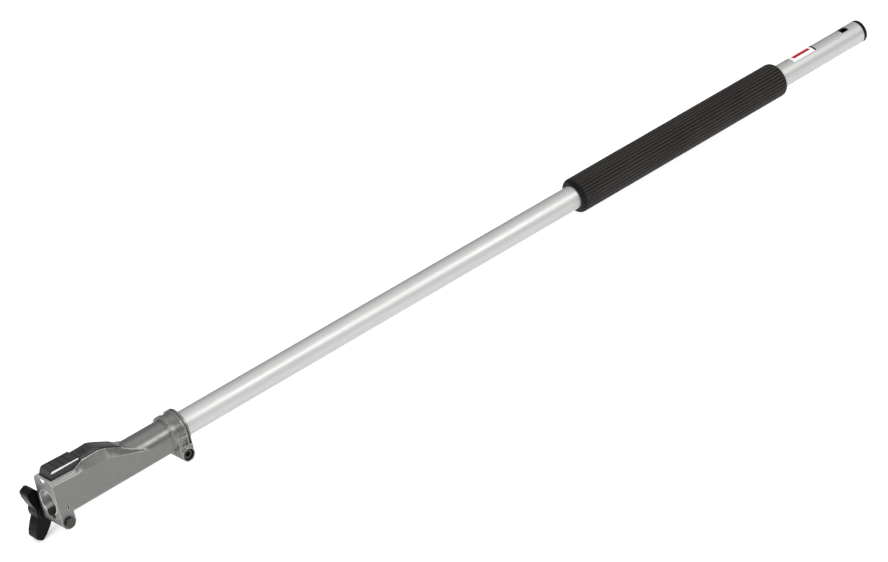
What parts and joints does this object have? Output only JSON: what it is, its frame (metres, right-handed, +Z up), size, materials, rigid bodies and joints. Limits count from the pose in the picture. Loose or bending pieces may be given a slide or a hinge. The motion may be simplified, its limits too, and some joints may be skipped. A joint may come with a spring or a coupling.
{
  "type": "pole tool extension shaft",
  "caption": "Straight metal extension pole for a pole hedge trimmer, with a clamp-and-latch coupler at one end, a ribbed foam grip and a capped plug end with a square latch hole.",
  "frame": {"origin": "centre of the socket mouth at the coupler's front face", "axes": "+X along the pole towards the capped plug end, +Z up through the release button, +Y towards the clamp knob"},
  "size_m": [1.1043, 0.0551, 0.0809],
  "materials": {
    "casting_grey": "satin die-cast aluminium, grey paint",
    "anodised": "satin anodised, drawn lengthwise",
    "foam": "matte ribbed foam",
    "black_plastic": "fine moulded grain",
    "cap_plastic": "moulded",
    "bright_steel": "ground",
    "bearing_steel": "polished",
    "zinc_steel": "zinc plated",
    "black_oxide": "black oxide",
    "spring_steel": "spring wire",
    "brass": "turned, knurled",
    "sintered_bronze": "sintered",
    "label_white": "printed film with a red bar",
    "mark_white": "white paint fill",
    "mark_black": "black printed line",
    "carrier_plastic": "moulded rubber"
  },
  "bodies": {
    "pole": {"coupler_housing": "casting_grey", "alignment_mark": "mark_white", "outer_tube": "anodised", "foam_grip": "foam", "spec_label": "label_white", "insertion_mark": "mark_black", "bearing_outer_race": "bearing_steel", "bearing_balls": "bearing_steel", "bearing_retaining_ring": "spring_steel", "bushing_carriers": "carrier_plastic", "shaft_bushings": "sintered_bronze", "latch_pivot_pin": "bright_steel", "latch_spring": "spring_steel", "latch_cover": "black_plastic", "clamp_bolt": "black_oxide", "collar_screw": "black_oxide"},
    "drive": {"drive_shaft": "bright_steel", "drive_coupling": "bright_steel", "coupling_pin": "bright_steel", "bearing_inner_race": "bearing_steel", "shaft_circlip": "spring_steel"},
    "release": {"release_button": "black_plastic", "latch_lever": "zinc_steel"},
    "latch": {"latch_pin": "zinc_steel"},
    "washer": {"clamp_washer": "zinc_steel"},
    "knob": {"clamp_knob": "black_plastic", "knob_insert": "brass"},
    "cap": {"end_cap": "cap_plastic"}
  },
  "joints": [
    {"name": "drive_spin", "type": "hinge", "parent": "pole", "child": "drive", "pos_m": [0.05, 0, 0], "axis": [1, 0, 0], "continuous": true},
    {"name": "release_press", "type": "hinge", "parent": "pole", "child": "release", "pos_m": [0.033, 0, 0.0218], "axis": [0, -1, 0], "range_deg": [0, 10], "stiffness_Nm_per_rad": 0.33, "springref_deg": -8.59},
    {"name": "latch_lift", "type": "slide", "parent": "pole", "child": "latch", "axis": [0, 0, 1], "range_m": [0, 0.0023], "deforming": ["latch_spring"]},
    {"name": "knob_travel", "type": "slide", "parent": "pole", "child": "washer", "axis": [0, 1, 0], "range_m": [0, 0.003]},
    {"name": "knob_turn", "type": "hinge", "parent": "washer", "child": "knob", "pos_m": [0.0078, 0.025, -0.0205], "axis": [0, 1, 0], "range_deg": [0, 1080]},
    {"name": "cap_pull", "type": "slide", "parent": "pole", "child": "cap", "axis": [1, 0, 0], "range_m": [0, 0.04]}
  ],
  "couplings": [
    {"joint": "latch_lift", "follows": "release_press", "m_per_rad": 0.0128},
    {"joint": "knob_travel", "follows": "knob_turn", "m_per_rad": 0.00015915}
  ]
}
